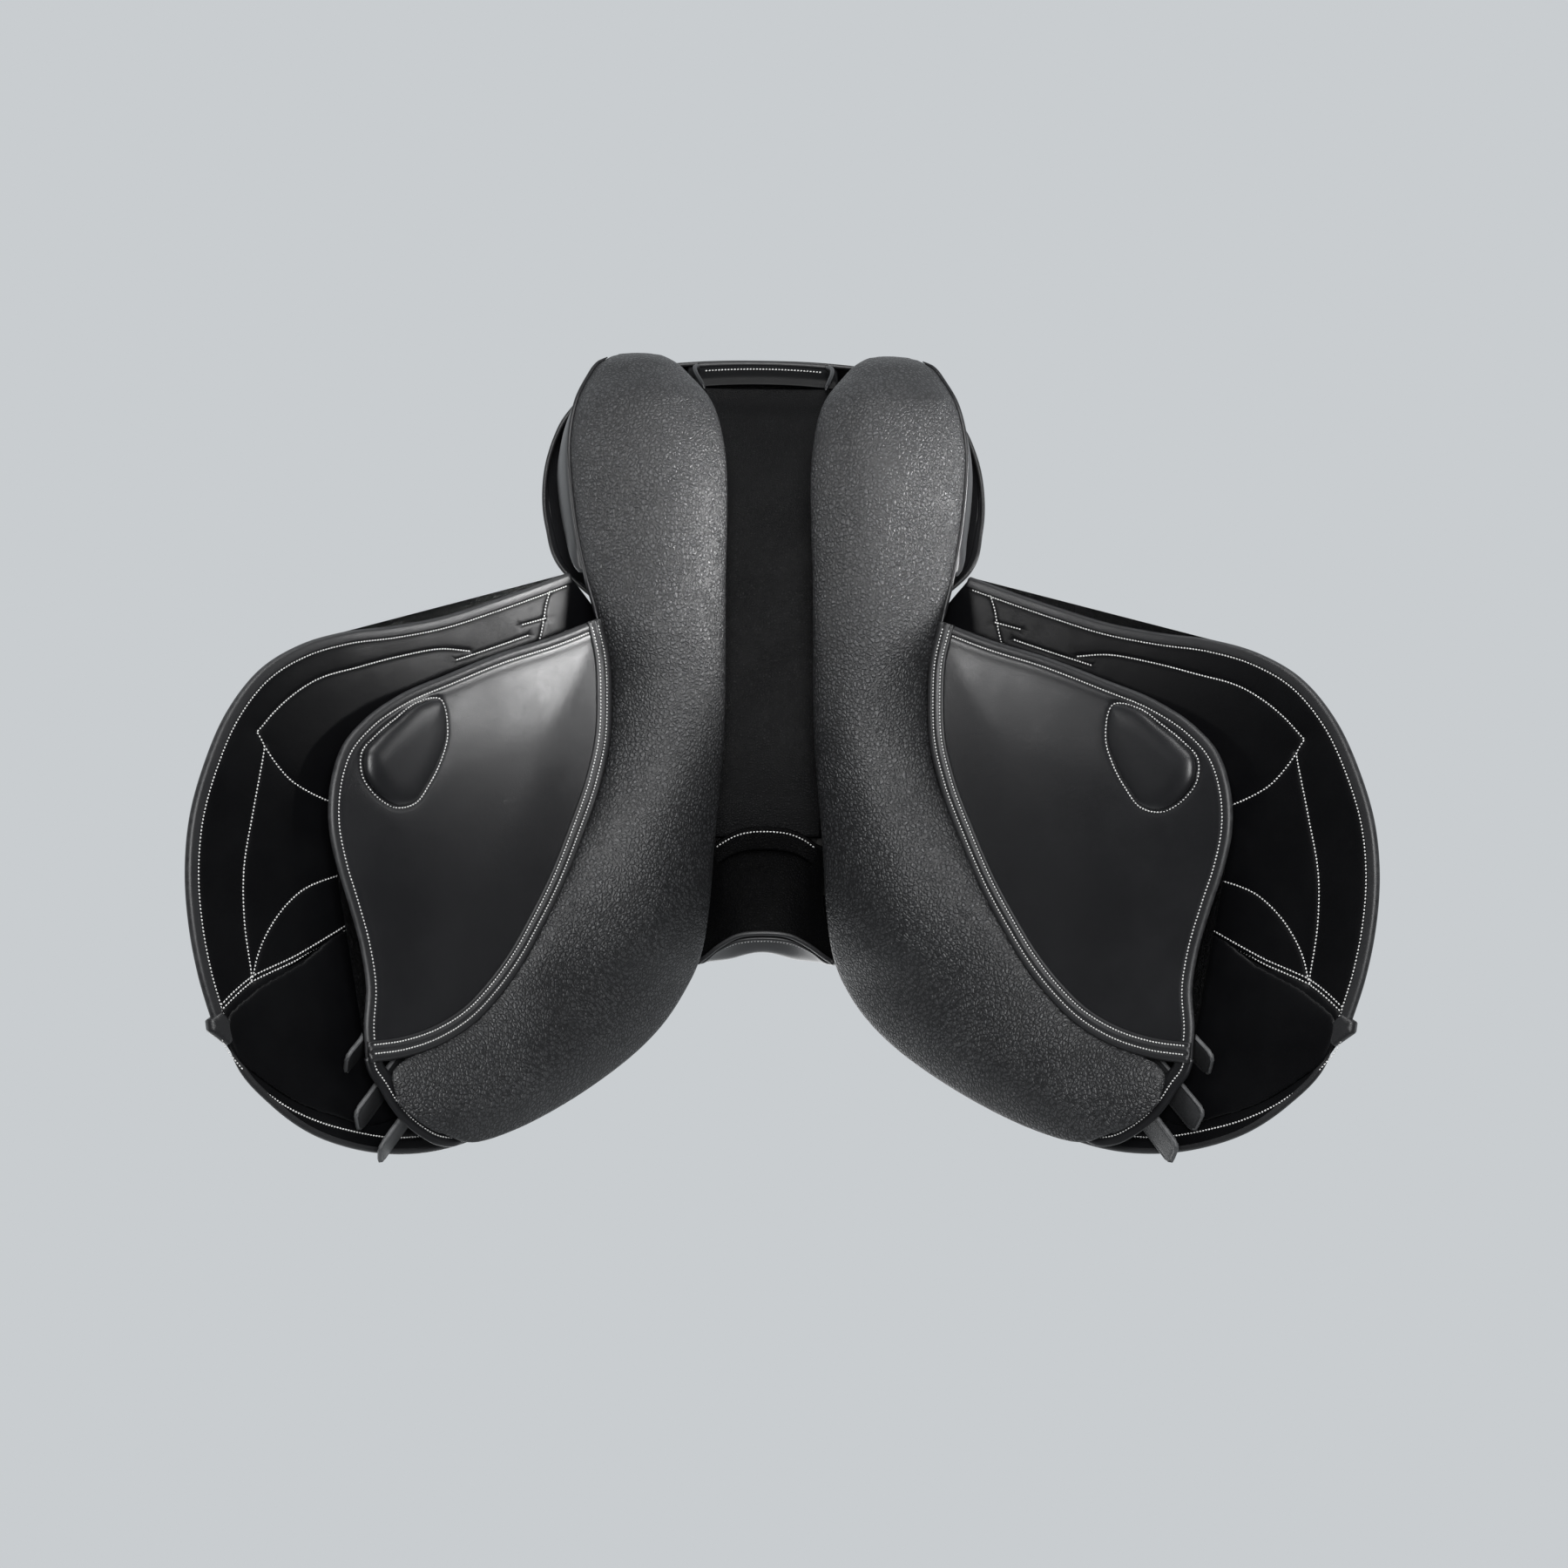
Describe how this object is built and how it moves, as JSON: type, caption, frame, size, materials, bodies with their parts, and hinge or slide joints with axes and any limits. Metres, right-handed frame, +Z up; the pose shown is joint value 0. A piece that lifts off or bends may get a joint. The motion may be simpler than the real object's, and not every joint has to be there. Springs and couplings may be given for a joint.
{
  "type": "english saddle",
  "caption": "Black leather jumping saddle with a sprung tree, stuffed panels, lifting flaps and skirts, girth billets and stirrup bars.",
  "frame": {"origin": "on the plane of symmetry, at the height where the tree's rails bear on the panels, over the middle of the stirrup bars: the point a saddle rack's ridge comes to", "axes": "+Z up as ridden, +Y to the cantle (rear), +X to the near (left) side"},
  "size_m": [0.8068, 0.6349, 0.4155],
  "materials": {
    "grain_leather": "pebbled black leather, satin, on the panels and seat",
    "smooth_leather": "smooth black calf, satin, on flaps, skirts and sweat flaps",
    "lining_leather": "black lining leather, matt",
    "bridle_leather": "solid black strap leather with pale grey cut edges",
    "steel": "nickel-plated steel",
    "webbing": "undyed woven webbing",
    "beech": "laminated beech, varnished",
    "foam": "cream seat foam and flocking"
  },
  "bodies": {
    "saddle": {"tree_frame": "beech", "gullet_plate": "steel", "gullet_rivet_left": "steel", "gullet_rivet_right": "steel", "spring_steel_left": "steel", "spring_steel_right": "steel", "webbing_long": "webbing", "webbing_cross_front": "webbing", "webbing_cross_rear": "webbing", "seat_foam": "foam", "seat_cover": "grain_leather", "seat_side_cover": "smooth_leather", "pommel_facing": "smooth_leather", "rear_facing": "smooth_leather", "gullet_lining": "lining_leather", "arch_lining": "lining_leather", "panel_left": "grain_leather", "panel_right": "grain_leather", "panel_gusset_left": "grain_leather", "panel_gusset_right": "grain_leather", "sweat_flap_left": "smooth_leather", "sweat_flap_right": "smooth_leather", "thigh_pad_left": "smooth_leather", "thigh_pad_right": "smooth_leather", "flap_tab_left": "smooth_leather", "flap_tab_right": "smooth_leather", "tree_point_left": "beech", "tree_point_right": "beech", "point_pocket_left": "lining_leather", "point_pocket_right": "lining_leather", "stirrup_bar_left": "steel", "stirrup_bar_right": "steel", "catch_bracket_left": "steel", "catch_bracket_right": "steel", "billet_web_rear_left": "webbing", "billet_web_rear_right": "webbing", "billet_web_front_left": "webbing", "billet_web_front_right": "webbing", "saddle_nail_left": "steel", "saddle_nail_right": "steel", "dee_keeper_left": "bridle_leather", "dee_keeper_right": "bridle_leather"},
    "flap_left": {"flap_left": "smooth_leather", "knee_pad_left": "smooth_leather"},
    "skirt_left": {"skirt_left": "smooth_leather"},
    "billet_rear_left": {"billet_rear_left": "bridle_leather"},
    "billet_middle_left": {"billet_middle_left": "bridle_leather"},
    "billet_front_left": {"billet_front_left": "bridle_leather"},
    "bar_catch_left": {"bar_catch_left": "steel"},
    "dee_left": {"dee_left": "steel"},
    "flap_right": {"flap_right": "smooth_leather", "knee_pad_right": "smooth_leather"},
    "skirt_right": {"skirt_right": "smooth_leather"},
    "billet_rear_right": {"billet_rear_right": "bridle_leather"},
    "billet_middle_right": {"billet_middle_right": "bridle_leather"},
    "billet_front_right": {"billet_front_right": "bridle_leather"},
    "bar_catch_right": {"bar_catch_right": "steel"},
    "dee_right": {"dee_right": "steel"}
  },
  "joints": [
    {"name": "flap_left_lift", "type": "hinge", "parent": "saddle", "child": "flap_left", "pos_m": [0.11172, 0, -0.00819], "axis": [0, -1, 0], "range_deg": [0, 65]},
    {"name": "skirt_left_lift", "type": "hinge", "parent": "saddle", "child": "skirt_left", "pos_m": [0.0735, -0.095, 0.032], "axis": [-0.1852, -0.9747, 0.1253], "range_deg": [0, 78]},
    {"name": "billet_rear_left_swing", "type": "hinge", "parent": "saddle", "child": "billet_rear_left", "pos_m": [0.11909, 0.036, -0.02367], "axis": [0.6887, 0, 0.725], "range_deg": [-8, 60]},
    {"name": "billet_middle_left_swing", "type": "hinge", "parent": "saddle", "child": "billet_middle_left", "pos_m": [0.11516, 0.014, -0.0278], "axis": [0.6887, 0, 0.725], "range_deg": [-8, 60]},
    {"name": "billet_front_left_swing", "type": "hinge", "parent": "saddle", "child": "billet_front_left", "pos_m": [0.11261, -0.014, -0.03048], "axis": [0.6887, 0, 0.725], "range_deg": [-8, 60]},
    {"name": "bar_catch_left_turn", "type": "hinge", "parent": "saddle", "child": "bar_catch_left", "pos_m": [0.09791, -0.0008, -0.00458], "axis": [0.725, 0, -0.6887], "range_deg": [0, 90]},
    {"name": "dee_left_swing", "type": "hinge", "parent": "saddle", "child": "dee_left", "pos_m": [0.078, -0.127, 0.042], "axis": [-1, 0, 0], "range_deg": [0, 100]},
    {"name": "flap_right_lift", "type": "hinge", "parent": "saddle", "child": "flap_right", "pos_m": [-0.11172, 0, -0.00819], "axis": [0, 1, 0], "range_deg": [0, 65]},
    {"name": "skirt_right_lift", "type": "hinge", "parent": "saddle", "child": "skirt_right", "pos_m": [-0.0735, -0.095, 0.032], "axis": [-0.1852, 0.9747, -0.1253], "range_deg": [0, 78]},
    {"name": "billet_rear_right_swing", "type": "hinge", "parent": "saddle", "child": "billet_rear_right", "pos_m": [-0.11909, 0.036, -0.02367], "axis": [0.6887, 0, -0.725], "range_deg": [-8, 60]},
    {"name": "billet_middle_right_swing", "type": "hinge", "parent": "saddle", "child": "billet_middle_right", "pos_m": [-0.11516, 0.014, -0.0278], "axis": [0.6887, 0, -0.725], "range_deg": [-8, 60]},
    {"name": "billet_front_right_swing", "type": "hinge", "parent": "saddle", "child": "billet_front_right", "pos_m": [-0.11261, -0.014, -0.03048], "axis": [0.6887, 0, -0.725], "range_deg": [-8, 60]},
    {"name": "bar_catch_right_turn", "type": "hinge", "parent": "saddle", "child": "bar_catch_right", "pos_m": [-0.09791, -0.0008, -0.00458], "axis": [0.725, 0, 0.6887], "range_deg": [0, 90]},
    {"name": "dee_right_swing", "type": "hinge", "parent": "saddle", "child": "dee_right", "pos_m": [-0.078, -0.127, 0.042], "axis": [-1, 0, 0], "range_deg": [0, 100]}
  ],
  "couplings": [
    {"joint": "skirt_left_lift", "follows": "flap_left_lift", "ratio": 1.2},
    {"joint": "skirt_right_lift", "follows": "flap_right_lift", "ratio": 1.2}
  ]
}
